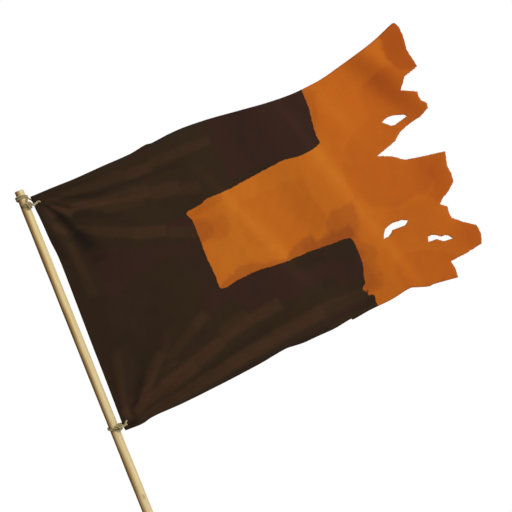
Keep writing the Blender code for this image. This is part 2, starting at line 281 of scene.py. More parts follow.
# Where the dark dye ends, from the top edge down to the bottom edge
dyeLine = [
    (1073, 20), (1072, 45), (1073, 78), (1072, 115), (1066, 160), (1061, 207), (1064, 235), (1059, 245),
    (1027, 255), (989, 259), (950, 255), (915, 251), (850, 257), (780, 265), (697, 274), (650, 276),
    (610, 277), (590, 285), (560, 291), (532, 294), (525, 305), (537, 333), (536, 400), (535, 478),
    (539, 535), (543, 594), (610, 588), (683, 583), (740, 588), (795, 591), (840, 590), (892, 589),
    (960, 593), (1010, 593), (1038, 599), (1045, 625), (1046, 665), (1046, 688), (1044, 706), (1040, 722),
    (1033, 737), (1029, 752), (1027, 769), (1019, 776), (1011, 785), (1016, 794), (1028, 797), (1022, 805),
    (1024, 813), (1038, 817), (1042, 828), (1039, 842), (1039, 858), (1038, 880),
]

# Waves that run down the cloth: x at the pole's top, lean of x per drop, half width, height towards the
# viewer, the drop where it is strongest, and its reach up and down from there
waves = np.array([
    (620, 0.15, 400, -24, 450, 1200), (555, 0.31, 110, 10, 450, 900), (730, 0.31, 110, -6, 450, 900),
    (880, 0.32, 110, 12, 450, 900), (1070, 0.20, 70, 5, 130, 190), (1225, 0.49, 95, -16, 150, 330),
    (1320, 0.64, 60, 7, 0, 150), (1150, 0.49, 110, -10, 520, 260), (1150, 0.36, 80, 7, 780, 220),
])
# Folds that fan out from each tied corner: angle below the x direction and half angle in degrees, height
# towards the viewer, and the distance at which the fold is highest
fans = [
    np.array([
        (3, 5, 6, 240), (10, 4, -5, 230), (17, 4.5, 7, 230), (25, 4.5, -5, 210), (33, 5, 5, 210),
        (45, 6, 4, 120), (64, 7, -9, 170), (79, 6, 6, 150),
    ]),
    np.array([
        (-3, 3, -5, 300), (-8, 3.2, 8, 360), (-13, 3, -7, 300), (-18, 3.6, 8, 280), (-26, 4, -7, 230),
        (-34, 4.2, 8, 210), (-43, 5, 7, 160), (-56, 7, -10, 150), (-76, 6, 6, 170),
    ]),
]
# and the distances where the folds have faded, where they start, and where the waves reach their height
fanFade, fanStart, stillReach = 620.0, 75.0, 420.0


def bells(x, drop, table):
    # a bell across each leaning line times a wide bell along it
    start, lean, width, height, strongest, reach = table.T[:, :, None]
    return height * np.exp(-(((x - start - lean * drop) / width) ** 2) - ((drop - strongest) / reach) ** 2)


def waveHeights(x, drop):
    # the waves' bells, which die away towards the hoist
    return bells(x, drop, waves).sum(axis=0) * (1 - np.exp(-((x / stillReach) ** 2)))


def fanHeights(x, drop):
    # each fold is a bell across its bearing from the corner, and it swells and dies away with distance
    total = 0
    for (cornerX, cornerDrop), folds in zip(cloth["corners"], fans):
        bearing, spread, height, peak = folds.T[:, :, None]
        distance = np.hypot(x - cornerX, drop - cornerDrop)
        angle = np.degrees(np.arctan2(drop - cornerDrop, x - cornerX))
        swell = distance / peak * np.exp(1 - distance / peak) * np.exp(-(((angle - bearing) / spread) ** 2))
        fade = np.exp(-((distance / fanFade) ** 2)) * (1 - np.exp(-((distance / fanStart) ** 4)))
        total = total + (height * swell).sum(axis=0) * fade
    return total


def ragged(line, seed, amount):
    # moves each inner point a little, so that a straight tear shows teeth
    moves = np.random.default_rng(seed).normal(0, amount, line.shape)
    moves[[0, -1]] = 0
    return line + moves


def clothLoops():
    # the outline from the upper hoist corner round the top, fly, bottom and hoist, the holes and the eyes
    step = cloth["edgeStep"]
    fly = ragged(tornLine(flyEdge, step), 3, cloth["raggedness"] / 2)
    sides = [smoothLine(topEdge, step), fly, smoothLine(bottomEdge, step), smoothLine(hoistEdge, step)]
    loops = [np.vstack([side[:-1] for side in sides])]
    for seed, hole in enumerate(wornHoles):
        loops.append(ragged(tornLine(closed(hole), step / 2), seed + 10, cloth["raggedness"] / 3)[:-1])
    turn = bearings(cloth["eyeSides"])
    circle = cloth["eyeRadius"] * np.stack([np.cos(turn), np.sin(turn)], axis=1)
    return [*loops, *(circle + eye for eye in cloth["eyes"])]


def clothGrid(loops, lines):
    # a triangular grid inside the outline and outside the holes, clear of every line that it is tied to
    spacing = cloth["grid"]
    low, high = loops[0].min(axis=0), loops[0].max(axis=0)
    levels = np.arange(low[1], high[1], spacing * math.sqrt(3) / 2)
    rows, columns = np.meshgrid(levels, np.arange(low[0], high[0], spacing), indexing="ij")
    columns[1::2] += spacing / 2
    points = np.stack([columns.ravel(), rows.ravel()], axis=1)
    points = points[insideLoop(points, loops[0])]
    for line in lines:
        points = points[distanceTo(points, line) > cloth["gridGap"] * spacing]
    for hole in loops[1:]:
        points = points[~insideLoop(points, hole)]
    return points


def clothTriangles(loops):
    # the flat sheet as points and triangles, cut along its outline, its holes and the dye's edge
    dye = smoothLine(dyeLine, cloth["edgeStep"])
    inner = dye[insideLoop(dye, loops[0])]
    inner = inner[distanceTo(inner, closed(loops[0])) > cloth["dyeGap"]]
    grid = clothGrid(loops, [*map(closed, loops), inner])
    counts = [len(loop) for loop in loops]
    starts = np.concatenate([[0], np.cumsum(counts)])
    edges = [np.stack([s + np.arange(n), s + (np.arange(n) + 1) % n], axis=1) for s, n in zip(starts, counts)]
    edges.append(starts[-1] + np.stack([np.arange(len(inner) - 1), np.arange(1, len(inner))], axis=1))
    flat = np.vstack([*loops, inner, grid])
    points, _, faces, *_ = delaunay_2d_cdt(flat.tolist(), np.vstack(edges).tolist(), [], 1, 1e-4)
    points, faces = np.array(points), np.array(faces)
    middles = points[faces].mean(axis=1)
    kept = ~np.any([insideLoop(middles, hole) for hole in loops[1:]], axis=0)
    return points, faces[kept].tolist()


def flatMap(flat):
    # places on the flat sheet, as shares of the map's side
    return (flat + [0, cloth["mapStart"]]) / cloth["mapSize"]


def clothPlaces(flat):
    # the flat sheet pushed into its waves, fans, creases and curled tears
    x, drop = flat.T
    tears = [tornLine(line, cloth["tearStep"]) for line in (flyEdge, *map(closed, wornHoles))]
    toTear = np.min([distanceTo(flat, tear) for tear in tears], axis=0)
    curl = cloth["curl"] * np.exp(-toTear / cloth["curlReach"]) * softNoise(x, drop, cloth["curlLength"], 21)
    toCorner = np.min([np.hypot(x - cx, drop - cd) for cx, cd in cloth["corners"]], axis=0)
    creases = sum(
        high * softNoise(x + leanX * drop, drop + leanDrop * x, size, seed)
        for high, size, leanX, leanDrop, seed in cloth["creases"])
    creases = creases * smoothStep(0, cloth["cornerCalm"], toCorner)
    height = waveHeights(x, drop) + fanHeights(x, drop) + creases + curl
    return inMetres(np.stack([x, -height, drop], axis=1))


# Painted highlights along the crests of the dark cloth's folds, as bars: from x, drop to x, drop, half width
# at each end, strength
foldHighlightBars = [
    (70, 70, 170, 78, 6, 12, 0.3), (170, 76, 373, 82, 16, 22, 0.25), (373, 92, 470, 94, 22, 22, 0.4),
    (470, 84, 700, 84, 22, 20, 0.3), (85, 95, 150, 150, 7, 15, 0.65), (150, 125, 320, 158, 14, 24, 0.45),
    (250, 150, 437, 187, 8, 12, 0.35), (320, 156, 437, 172, 24, 28, 0.35), (437, 184, 540, 200, 30, 28, 0.4),
    (200, 170, 400, 202, 12, 14, 0.2), (540, 212, 610, 226, 25, 22, 0.3), (140, 195, 200, 238, 10, 20, 0.35),
    (200, 235, 320, 292, 20, 23, 0.35), (320, 294, 437, 328, 24, 24, 0.48), (440, 336, 535, 372, 24, 26, 0.3),
    (64, 92, 84, 136, 8, 12, 0.6), (70, 158, 100, 205, 12, 15, 0.4), (100, 240, 108, 450, 14, 22, 0.22),
    (130, 868, 165, 828, 14, 20, 0.5), (160, 832, 205, 776, 20, 23, 0.5), (205, 774, 262, 726, 23, 20, 0.4),
    (215, 790, 295, 778, 10, 8, 0.2), (268, 745, 300, 665, 12, 14, 0.12), (270, 760, 400, 688, 14, 20, 0.25),
    (400, 685, 458, 658, 22, 22, 0.35), (90, 890, 220, 850, 20, 24, 0.5), (220, 847, 360, 808, 28, 30, 0.65),
    (360, 805, 480, 768, 27, 26, 0.5), (400, 782, 585, 748, 10, 14, 0.2), (480, 752, 595, 722, 32, 32, 0.3),
    (480, 766, 590, 744, 22, 22, 0.2), (590, 738, 718, 722, 24, 27, 0.45), (100, 916, 300, 893, 12, 24, 0.4),
    (300, 888, 460, 866, 24, 26, 0.4), (460, 860, 640, 834, 27, 28, 0.5), (560, 846, 850, 812, 12, 14, 0.15),
    (640, 832, 852, 806, 28, 28, 0.45), (852, 805, 1015, 800, 28, 22, 0.2),
    (820, 786, 955, 782, 12, 14, 0.12), (58, 862, 68, 905, 18, 14, 0.6), (62, 860, 110, 650, 16, 20, 0.22),
    (90, 850, 150, 820, 12, 16, 0.2),
]
# and painted shade where it is drawn deep into a fold
foldShadeBars = [
    (120, 84, 250, 108, 4, 8, 0.25), (250, 112, 400, 119, 8, 8, 0.35), (400, 120, 560, 124, 9, 10, 0.2),
    (140, 150, 250, 190, 10, 16, 0.4), (250, 200, 320, 220, 10, 8, 0.25), (64, 80, 102, 130, 4, 8, 0.5),
    (102, 130, 124, 178, 8, 11, 0.9), (122, 176, 140, 222, 12, 15, 0.7), (134, 216, 160, 285, 24, 32, 0.85),
    (158, 282, 172, 345, 32, 32, 0.4), (165, 330, 178, 420, 30, 34, 0.12), (55, 195, 62, 290, 20, 20, 0.25),
    (175, 600, 178, 740, 14, 24, 0.18), (95, 832, 165, 788, 24, 14, 0.2), (85, 655, 160, 630, 20, 20, 0.2),
    (262, 572, 305, 578, 10, 24, 0.2), (400, 842, 660, 790, 10, 20, 0.16), (430, 899, 860, 867, 7, 7, 0.35),
    (860, 846, 1040, 838, 10, 12, 0.25), (55, 926, 86, 920, 9, 8, 0.8), (820, 620, 930, 622, 22, 22, 0.25),
    (410, 718, 430, 712, 10, 12, 0.2), (880, 720, 930, 716, 18, 18, 0.12),
]
# The dark dye keeps its red inside these outlines and has gone olive in the rest. Here and below, the first
# number of an outline is its strength.
redAreas = [
    [1.0, (711, 0), (1100, 0), (1090, 240), (950, 250), (820, 240), (711, 242)],
    [1.0, (127, 325), (141, 293), (166, 300), (449, 389), (540, 401), (540, 413), (363, 421), (270, 432),
     (249, 446), (241, 468), (191, 480), (163, 480), (156, 450), (152, 411), (156, 386), (170, 364),
     (159, 350)],
    [1.0, (434, 301), (530, 306), (540, 352), (477, 336), (449, 325)],
    [1.0, (471, 590), (534, 585), (691, 570), (791, 585), (799, 629), (834, 646), (849, 659), (949, 649),
     (984, 671), (1060, 675), (1055, 704), (1040, 743), (949, 749), (938, 707), (913, 700), (806, 714),
     (749, 734), (731, 729), (724, 704), (684, 700), (606, 714), (595, 689), (574, 646), (541, 636),
     (513, 646), (470, 666)],
    [1.0, (249, 706), (284, 671), (295, 668), (302, 686), (284, 704)],
    [1.0, (327, 771), (399, 730), (406, 739), (356, 768)],
    [1.0, (649, 861), (991, 825), (1006, 836), (806, 857), (663, 866)],
    [0.4, (427, 429), (540, 414), (545, 592), (477, 590), (477, 564), (470, 529), (491, 500), (449, 479),
     (431, 457)],
    [0.35, (159, 489), (256, 479), (256, 525), (206, 536), (163, 541)],
    [0.35, (799, 594), (1050, 594), (1055, 671), (949, 649), (849, 659), (799, 629)],
    [0.4, (30, 803), (150, 790), (230, 850), (199, 900), (120, 940), (30, 950)],
    [0.3, (199, 771), (363, 800), (349, 850), (199, 900)],
    [0.4, (330, 20), (483, 10), (483, 50), (330, 55)],
]
# Darker patches on the orange cloth, most of them along the dark dye's edge
darkPatchAreas = [
    [0.4, (540, 592), (583, 562), (615, 551), (657, 544), (678, 543), (704, 559), (731, 574), (773, 581),
     (799, 585), (799, 605), (540, 605)],
    [0.5, (799, 583), (815, 562), (836, 556), (855, 549), (883, 535), (915, 537), (920, 562), (952, 562),
     (962, 553), (983, 549), (1056, 551), (1056, 605), (799, 605)],
    [0.35, (870, 560), (918, 552), (925, 576), (962, 568), (994, 560), (1056, 562), (1056, 605), (880, 605)],
    [0.35, (973, 551), (978, 514), (994, 498), (1015, 488), (1046, 483), (1088, 479), (1094, 519),
     (1088, 562), (1067, 604), (1040, 604), (1040, 551)],
    [0.28, (1036, 604), (1067, 604), (1073, 625), (1109, 656), (1109, 688), (1083, 709), (1088, 730),
     (1094, 772), (1088, 798), (1046, 814), (1010, 800), (1010, 760), (1036, 719), (1036, 667)],
    [0.3, (1036, 640), (1062, 650), (1066, 672), (1048, 690), (1070, 735), (1072, 790), (1010, 800),
     (1010, 740)],
    [0.2, (530, 322), (573, 330), (599, 351), (652, 356), (657, 393), (636, 425), (604, 430), (562, 414),
     (530, 409)],
    [0.3, (530, 335), (578, 346), (599, 372), (599, 393), (567, 409), (530, 414)],
    [0.2, (530, 309), (604, 270), (667, 275), (667, 292), (657, 301), (583, 314), (530, 319)],
    [0.25, (1060, 40), (1104, 46), (1115, 67), (1097, 119), (1088, 141), (1067, 204), (1060, 204)],
]
# Painted light on the waves: painted highlights along the crests and painted shade along the troughs, given
# as the waves are, but with a strength in place of the height
crestLightAndShadeBells = np.array([
    (963, 0.287, 30, 0.6, 340, 130), (963, 0.287, 26, 0.6, 120, 130), (963, 0.287, 22, 0.35, 700, 250),
    (550, 0.43, 26, 0.5, 380, 230), (528, 0.436, 22, 0.35, 650, 60), (540, 0.5, 24, 0.3, 190, 60),
    (1094, 0.39, 30, 0.3, 150, 130), (1353, 0.64, 28, 0.2, 20, 100), (1290, 0.49, 50, -0.6, 110, 190),
    (1455, 0, 50, -0.7, 740, 70), (1346, 0.1, 60, -0.5, 500, 100), (760, 0.15, 230, 0.5, 430, 600),
    (600, 0, 110, 0.45, 500, 110),
])
# and painted shade over the duller areas between them
paintedShadeAreas = [
    [0.3, (1109, 341), (1141, 351), (1131, 309), (1173, 262), (1257, 230), (1262, 141), (1288, 98),
     (1399, 72), (1500, 90), (1500, 300), (1320, 319), (1246, 362), (1299, 393), (1399, 425), (1404, 504),
     (1373, 535), (1341, 551), (1209, 556), (1141, 519), (1109, 477), (1094, 404)],
    [0.3, (1136, 741), (1194, 725), (1257, 727), (1320, 762), (1362, 788), (1367, 804), (1345, 880),
     (1246, 880), (1194, 860), (1152, 850), (1141, 772)],
    [0.9, (1399, -60), (1399, 20), (1404, 67), (1430, 110), (1510, 130), (1500, -80)],
    [0.12, (1280, 119), (1330, 83), (1399, 67), (1404, 98), (1425, 141), (1470, 210), (1440, 290),
     (1310, 160)],
    [0.28, (704, 335), (957, 330), (962, 393), (983, 477), (973, 519), (941, 551), (878, 546), (815, 572),
     (794, 519), (731, 509), (694, 477), (694, 435), (678, 419)],
    [0.3, (1404, 430), (1480, 430), (1480, 560), (1380, 600), (1350, 560), (1390, 530)],
    [0.12, (1090, 20), (1290, -20), (1262, 141), (1257, 230), (1173, 262), (1060, 250)],
    [0.15, (1190, 560), (1400, 570), (1440, 690), (1440, 790), (1360, 790), (1260, 720), (1180, 715)],
]


def barAmount(x, drop, bars, solid, crestHighlight):
    # each bar is full to the solid share of its half width and gone at the faded one, its ends are short
    # fades, and a second bar paints part of what the first one left bare
    x1, drop1, x2, drop2, half1, half2, strength = np.array(bars, float).T[:, :, None]
    runX, runDrop = x2 - x1, drop2 - drop1
    length = np.hypot(runX, runDrop)
    along = ((x - x1) * runX + (drop - drop1) * runDrop) / length
    aside = np.abs((x - x1) * runDrop - (drop - drop1) * runX) / length
    half = half1 + (half2 - half1) * np.clip(along / length, 0, 1)
    sides = 1 - smoothStep(solid, crestHighlight, aside / half)
    end = cloth["barEnd"]
    ends = smoothStep(-end, end, along) * (1 - smoothStep(length - end, length + end, along))
    return 1 - np.prod(1 - strength * sides * ends, axis=0)


def areaAmount(x, drop, areas, soft):
    # each area fades out over its soft edge, and a second one paints part of what the first one left bare
    points = np.stack([x, drop], axis=1)
    bare = 1.0
    for strength, *outline in areas:
        loop = np.array(outline, float)
        inwards = distanceTo(points, closed(loop)) * np.where(insideLoop(points, loop), 1, -1)
        bare = bare * (1 - strength * smoothStep(-soft, soft, inwards))
    return 1 - bare


def clothValues(flat):
    # how far inside the dark dye each point is, its painted highlights and shade on the crests, in the
    # troughs and in the folds, how olive, and how much of the darker patches
    x, drop = flat.T
    line = smoothLine(dyeLine, cloth["edgeStep"])
    left, top, bottom = cloth["clear"]
    hoistSide = np.vstack([line, [(line[-1][0], bottom), (left, bottom), (left, top), (line[0][0], top)]])
    stray, (large, small), soft = cloth["areaStray"], cloth["areaSizes"], cloth["softEdges"]
    wanderX, wanderDrop = (
        middle + stray * (softNoise(x, drop, large, seed) + softNoise(x, drop, small, seed + 2))
        for middle, seed in ((x, 24), (drop, 25)))
    # painted shade over the duller areas between the crests
    paintedShade = areaAmount(wanderX, wanderDrop, paintedShadeAreas, soft["paintedShade"])
    return {
        "dye": distanceTo(flat, line) * np.where(insideLoop(flat, hoistSide), 1, -1),
        # painted highlights on the crests and painted shade in the troughs, less the painted shade of the
        # duller areas
        "crestLightAndShade": bells(x, drop, crestLightAndShadeBells).sum(axis=0) - paintedShade,
        # painted highlights on the dark cloth's fold crests, less painted shade deep in its folds
        "paintedFoldLight": barAmount(x, drop, foldHighlightBars, *cloth["foldHighlightSides"])
        - barAmount(x, drop, foldShadeBars, *cloth["foldShadeSides"]),
        "olive": 1 - areaAmount(wanderX, wanderDrop, redAreas, soft["red"]),
        # darker patches, most of them along the dark dye's edge
        "darkPatch": areaAmount(wanderX, wanderDrop, darkPatchAreas, soft["darkPatch"]),
    }


canvas = {
    # soft noise by the size of its blotches, in millimetres across and down, and its octaves
    "noises": {
        "cloudy": (260, 260, 3), "warpSlubs": (4.5, 99, 2), "weftSlubs": (99, 4.5, 2), "streaky": (70, 7, 3),
        "wobble": (14, 14, 2), "fineWobble": (4, 4, 2),
    },
    "creep": {"fineWobble": 3.0, "wobble": 7.0},  # how far the dye's edge strays, in millimetres
    # on the orange: the second colour is a painted highlight for the crests, the third a painted shade for
    # the troughs and duller areas that also darkens random blotches, and the fourth the darker patches'
    # colour
    "orange": "#b96018", "crestHighlight": "#c67120", "shaded": "#a04a14", "darkPatch": "#8e421a",
    # on the dark cloth: its own colour, its olive, a painted highlight for the crests of its folds and waves,
    # and a painted shade deep in its folds
    "dark": "#36221a", "olive": "#322417", "paintedFoldLight": "#4a3120", "foldShade": "#1e1511", "shadow": "#000000",
    "threadScale": 0.157,  # threads 2 mm apart
}


def canvasMaterial():
    # Plain-woven cotton, piece-dyed and left out in the weather: matt and a little furry, with painted
    # highlights on the crests of its waves and folds, and painted shade in their troughs and on the duller
    # areas between them.
    material = newMaterial(
        "dyedCottonCanvas", Roughness=0.95, IOR=1.46, Sheen_Weight=0.03, Sheen_Roughness=0.6,
        Specular_IOR_Level=0.08)
    mapped = addNode(material, "UVMap", uv_map="flat")
    side = cloth["mapSize"]
    inMm = addNode(material, "Mapping", {"Vector": mapped, "Scale": (side, side, side)})
    noises = {}
    for name, (across, down, detail) in canvas["noises"].items():
        sized = addNode(material, "Mapping", {"Vector": inMm, "Scale": (1 / across, 1 / down, 1)})
        noises[name] = addNode(material, "TexNoise", {"Vector": sized, "Scale": 1.0, "Detail": detail})
    dye, crestLightAndShade, paintedFoldLight, olive, darkPatch = (
        addNode(material, "Attribute", output="Fac", attribute_name=name)
        for name in ("dye", "crestLightAndShade", "paintedFoldLight", "olive", "darkPatch"))

    # painted highlights on the crests, painted shade in the troughs and on the duller areas, random darker
    # blotches, then the darker patches
    orange = addCoats(material, linear(canvas["orange"]), [
        (crestLightAndShade, 0.0, 1.0, 1.0, canvas["crestHighlight"]), (crestLightAndShade, 0.0, -1.0, 1.0, canvas["shaded"]),
        (noises["cloudy"], 0.5, 0.72, 0.15, canvas["shaded"]), (darkPatch, 0.0, 1.0, 1.0, canvas["darkPatch"]),
    ])
    # the painted highlights on the dark cloth's fold crests are streaked; it then gets olive areas, those
    # highlights, painted shade deep in its folds, and painted highlights on the waves' crests
    streaks = addNode(material, "MapRange", {
        "Value": noises["streaky"], "From Min": 0.3, "From Max": 0.7, "To Min": 0.75, "To Max": 1.1})
    streakedHighlight = addNode(material, "Math", {0: paintedFoldLight, 1: streaks}, operation="MULTIPLY")
    dark = addCoats(material, linear(canvas["dark"]), [
        (olive, 0.3, 0.7, 1.0, canvas["olive"]), (streakedHighlight, 0.0, 0.85, 1.0, canvas["paintedFoldLight"]),
        (paintedFoldLight, 0.0, -1.0, 1.0, canvas["foldShade"]), (crestLightAndShade, 0.45, 1.1, 0.35, canvas["paintedFoldLight"]),
    ])
    # the dye crept unevenly: its edge wobbles by a few millimetres
    crept = dye
    for name, reach in canvas["creep"].items():
        crept = addNode(material, "Math", {0: noises[name], 1: reach, 2: crept}, operation="MULTIPLY_ADD")
    slubs = addNode(material, "Math", {0: noises["warpSlubs"], 1: noises["weftSlubs"]})
    colour = addCoats(material, orange, [
        (crept, 4.0, 6.0, 1.0, dark), (slubs, 0.75, 1.25, 0.04, canvas["shadow"]),
    ])
    # threads are drawn 2 mm apart, about three times as coarse as they are, so that a close view shows them
    drawn = {"Vector": inMm, "Scale": canvas["threadScale"]}
    warp, weft = (addNode(material, "TexWave", drawn, "Fac", bands_direction=axis) for axis in "XY")
    threads = addNode(material, "Math", {0: warp, 1: weft}, operation="MAXIMUM")
    weaveBump = addNode(material, "Bump", {"Height": threads, "Strength": 0.2, "Distance": 0.0002})
    slubBump = addNode(material, "Bump", {
        "Height": slubs, "Strength": 0.35, "Distance": 0.0006, "Normal": weaveBump})
    return finishMaterial(material, colour, slubBump)


def makeCloth(material):
    # the flat triangles at their places in the air, with the cloth's thickness half to each side
    flat, faces = clothTriangles(clothLoops())
    piece = addMesh("flagCloth", clothPlaces(flat), faces, material, flatMap(flat), clothValues(flat))
    thicken = piece.modifiers.new("thickness", "SOLIDIFY")
    thicken.thickness = cloth["thickness"] / 1000
    thicken.offset = 0
    return fit(piece, "cloth")


fray = {
    "spacing": 9.0,
    "shortest": 2.5,
    "longest": 7.0,
    "rooted": 1.5,  # how far inside the cloth a thread starts
    "thickness": 0.45,
    "stray": 0.5,  # how far a thread turns from straight out, in radians
    "bend": 0.5,  # how far its tip bends within the cloth and out of it, as shares of its length
    "lift": 0.3,
    "sides": 3,
    "points": 5,
}


def makeFray(material):
    # loose threads along every tear: each strays from the tear's outward direction and bends as its distance
    # squared, and a fine tube is carried along it
    chance = np.random.default_rng(40)
    roots, facing = [], []
    for tear in (flyEdge, *(closed(hole)[::-1] for hole in wornHoles)):
        line = tornLine(tear, fray["spacing"])
        run = np.diff(line, axis=0)
        roots.append((line[:-1] + line[1:]) / 2)
        facing.append(np.arctan2(-run[:, 0], run[:, 1]))
    roots = np.vstack(roots)[:, None]
    angle = (np.concatenate(facing) + chance.normal(0, fray["stray"], len(roots)))[:, None]
    length = chance.uniform(fray["shortest"], fray["longest"], (len(roots), 1))
    share = np.linspace(0, 1, fray["points"])
    far = (length + fray["rooted"]) * share - fray["rooted"]
    aside = chance.uniform(-fray["bend"], fray["bend"], (len(roots), 1)) * length * share**2
    outX, outDrop = np.cos(angle), np.sin(angle)
    strays = np.stack([far * outX - aside * outDrop, far * outDrop + aside * outX], axis=2)
    flat = (roots + strays).reshape(-1, 2)
    middle = clothPlaces(flat).reshape(len(roots), -1, 3)
    middle[..., 1] += chance.uniform(-fray["lift"], fray["lift"], (len(roots), 1)) * length * share**2 / 1000
    ahead = unit(np.gradient(middle, axis=1))
    side = unit(np.cross(ahead, (0, 1, 0)))
    turn = bearings(fray["sides"])[:, None]
    ring = np.cos(turn) * side[:, :, None] + np.sin(turn) * np.cross(ahead, side)[:, :, None]
    places = (middle[:, :, None] + fray["thickness"] / 2000 * ring).reshape(-1, 3)
    size = fray["points"] * fray["sides"]
    faces = [face for k in range(len(roots)) for face in tubeFaces(fray["points"], fray["sides"], k * size)]
    flat = np.repeat(flat, fray["sides"], axis=0)
    threads = addMesh("frayedThreads", places, faces, material, flatMap(flat), clothValues(flat))
    return fit(threads)


pole = {
    "length": 2100.0,
    "topRadius": 16.8,
    "buttRadius": 19.2,
    "edge": 3.0,  # how far each end is rounded
    "sides": 96,
    "ringSpacing": 8.0,
    "plainFrom": 5.0,  # how far past its rounded ends the even rings start
    "outOfRound": 0.22,  # shaved by hand, so a little uneven
    "unevenLength": 90.0,
    "edgeRings": 7,
    "endRings": (0.05, 0.9, 4),  # shares of the end's radius: the innermost, the outermost, and how many
    "knots": [(0.5, 318, 8), (2.9, 705, 10), (5.2, 1180, 9), (1.6, 1560, 11)],  # bearing, drop, radius
    "knotHeight": 0.5,
    "knotStretch": 1.5,  # a knot is longer along the pole than round it
    "knotStain": 0.7,
    # bearings in degrees where a painted shade starts, is full, leaves and ends, and its strength: a warm one
    # and a brown one on the hoist side, and a faint brown one on the fly side
    "shadeEdgeWarmth": [(150, 200, 246, 282, 0.8)],
    "sideShade": [(125, 190, 226, 252, 0.85), (316, 340, 345, 359, 0.3)],
    "shadeTwist": (500, 0.013),  # the painted shades turn round the pole: from this drop, in degrees for each mm
    "shadeWaver": (9, 60),  # and waver by so many degrees over such a length
    "sunned": (100, 750, 0.3),  # the drops where the top's yellowing is full and gone, and its strength
    # streaks by their size, in millimetres across and along the pole
    "streaks": {"grain": (2.5, 160), "growth": (9, 420), "hands": (70, 300)},
    "pale": "#d9c088", "palest": "#e6d5a6", "line": "#b08a4c", "handled": "#c2a56c", "sun": "#c8b05a",
    "shadeEdgeWarm": "#c08a3c", "sideShadeColour": "#90744f", "knot": "#7d552b",
}


def poleRadius(drop):
    # a straight taper from the top to the butt
    return pole["topRadius"] + (pole["buttRadius"] - pole["topRadius"]) * drop / pole["length"]


def woodMaterial():
    # Pine, shaved and rubbed smooth by hands: pale, satin, with fine brown grain lines, yellower towards its
    # top, with painted shade down its hoist side, warm where it meets the lit front, and a fainter band of
    # painted shade on its fly side.
    material = newMaterial("shavedPine", Roughness=0.5, IOR=1.52, Specular_IOR_Level=0.35)
    place = addNode(material, "TexCoord", output="Object")
    streaks = {}
    for name, (across, along) in pole["streaks"].items():
        scale = (1000 / across, 1000 / across, 1000 / along)
        sized = addNode(material, "Mapping", {"Vector": place, "Scale": scale})
        streaks[name] = addNode(material, "TexNoise", {"Vector": sized, "Scale": 1.0, "Detail": 3.0})
    knot, sunned, shadeEdgeWarmth, sideShade = (
        addNode(material, "Attribute", output="Fac", attribute_name=name)
        for name in ("knot", "sunned", "shadeEdgeWarmth", "sideShade"))
    colour = addCoats(material, linear(pole["pale"]), [
        (streaks["growth"], 0.3, 0.7, 1.0, pole["palest"]),
        (streaks["grain"], 0.52, 0.72, 0.45, pole["line"]),
        (streaks["hands"], 0.5, 0.75, 0.12, pole["handled"]), (sunned, 0.0, 1.0, 1.0, pole["sun"]),
        (shadeEdgeWarmth, 0.0, 1.0, 1.0, pole["shadeEdgeWarm"]), (sideShade, 0.0, 1.0, 1.0, pole["sideShadeColour"]),
        (knot, 0.0, 1.0, 1.0, pole["knot"]),
    ])
    bump = addNode(material, "Bump", {"Height": streaks["grain"], "Strength": 0.3, "Distance": 0.0005})
    return finishMaterial(material, colour, bump)


def makePole(material):
    # rings down the shaft: a taper with rounded ends, made uneven by slow noise and by a low bell for each
    # knot, which has died away at the knot's radius
    length, edge = pole["length"], pole["edge"]
    ease, cap = np.linspace(0, math.pi / 2, pole["edgeRings"]), np.linspace(*pole["endRings"])
    rise, sink = edge * (1 - np.cos(ease)), edge * (1 - np.sin(ease))
    plain = edge + pole["plainFrom"]
    shaft = np.arange(plain, length - plain, pole["ringSpacing"])
    drops = np.concatenate([0 * cap, rise, shaft, length - sink, 0 * cap + length])
    inset = np.concatenate([0 * cap + edge, sink, 0 * shaft, rise, 0 * cap + edge])
    reach = np.concatenate([cap, np.ones(len(shaft) + 2 * len(ease)), cap[::-1]])
    around, down = np.meshgrid(bearings(pole["sides"]), drops)
    uneven = sum(
        softNoise(2 * side + 9, down / pole["unevenLength"], 1, seed)
        for side, seed in ((np.cos(around), 31), (np.sin(around), 32)))
    knot = np.zeros_like(down)
    for bearing, drop, size in pole["knots"]:
        across = (np.mod(around - bearing + math.pi, math.tau) - math.pi) * poleRadius(down)
        away = across**2 + ((down - drop) / pole["knotStretch"]) ** 2
        knot = np.maximum(knot, np.exp(-4 * away / size**2))
    shape = poleRadius(down) - inset[:, None] + pole["outOfRound"] * uneven + pole["knotHeight"] * knot
    radius = reach[:, None] * shape
    places = np.stack([radius * np.cos(around), radius * np.sin(around), down], axis=2).reshape(-1, 3)
    (untwisted, twist), (waver, waverLength) = pole["shadeTwist"], pole["shadeWaver"]
    bearing = np.degrees(around) + twist * (down - untwisted)
    bearing = bearing + waver * softNoise(down, around, waverLength, 33)
    full, gone, strength = pole["sunned"]
    values = {"knot": pole["knotStain"] * knot, "sunned": strength * (1 - smoothStep(full, gone, down))}
    # painted shade round the pole by bearing: warm and brown on the hoist side, and a faint brown band on the
    # fly side
    for sideShading in ("shadeEdgeWarmth", "sideShade"):
        values[sideShading] = sum(
            strength * smoothStep(start, full, bearing) * (1 - smoothStep(leaving, end, bearing))
            for start, full, leaving, end, strength in pole[sideShading])
    faces = [face[::-1] for face in tubeFaces(len(drops), pole["sides"])]
    return fit(addMesh("woodenPole", inMetres(places), faces, material, values=values), "pole")


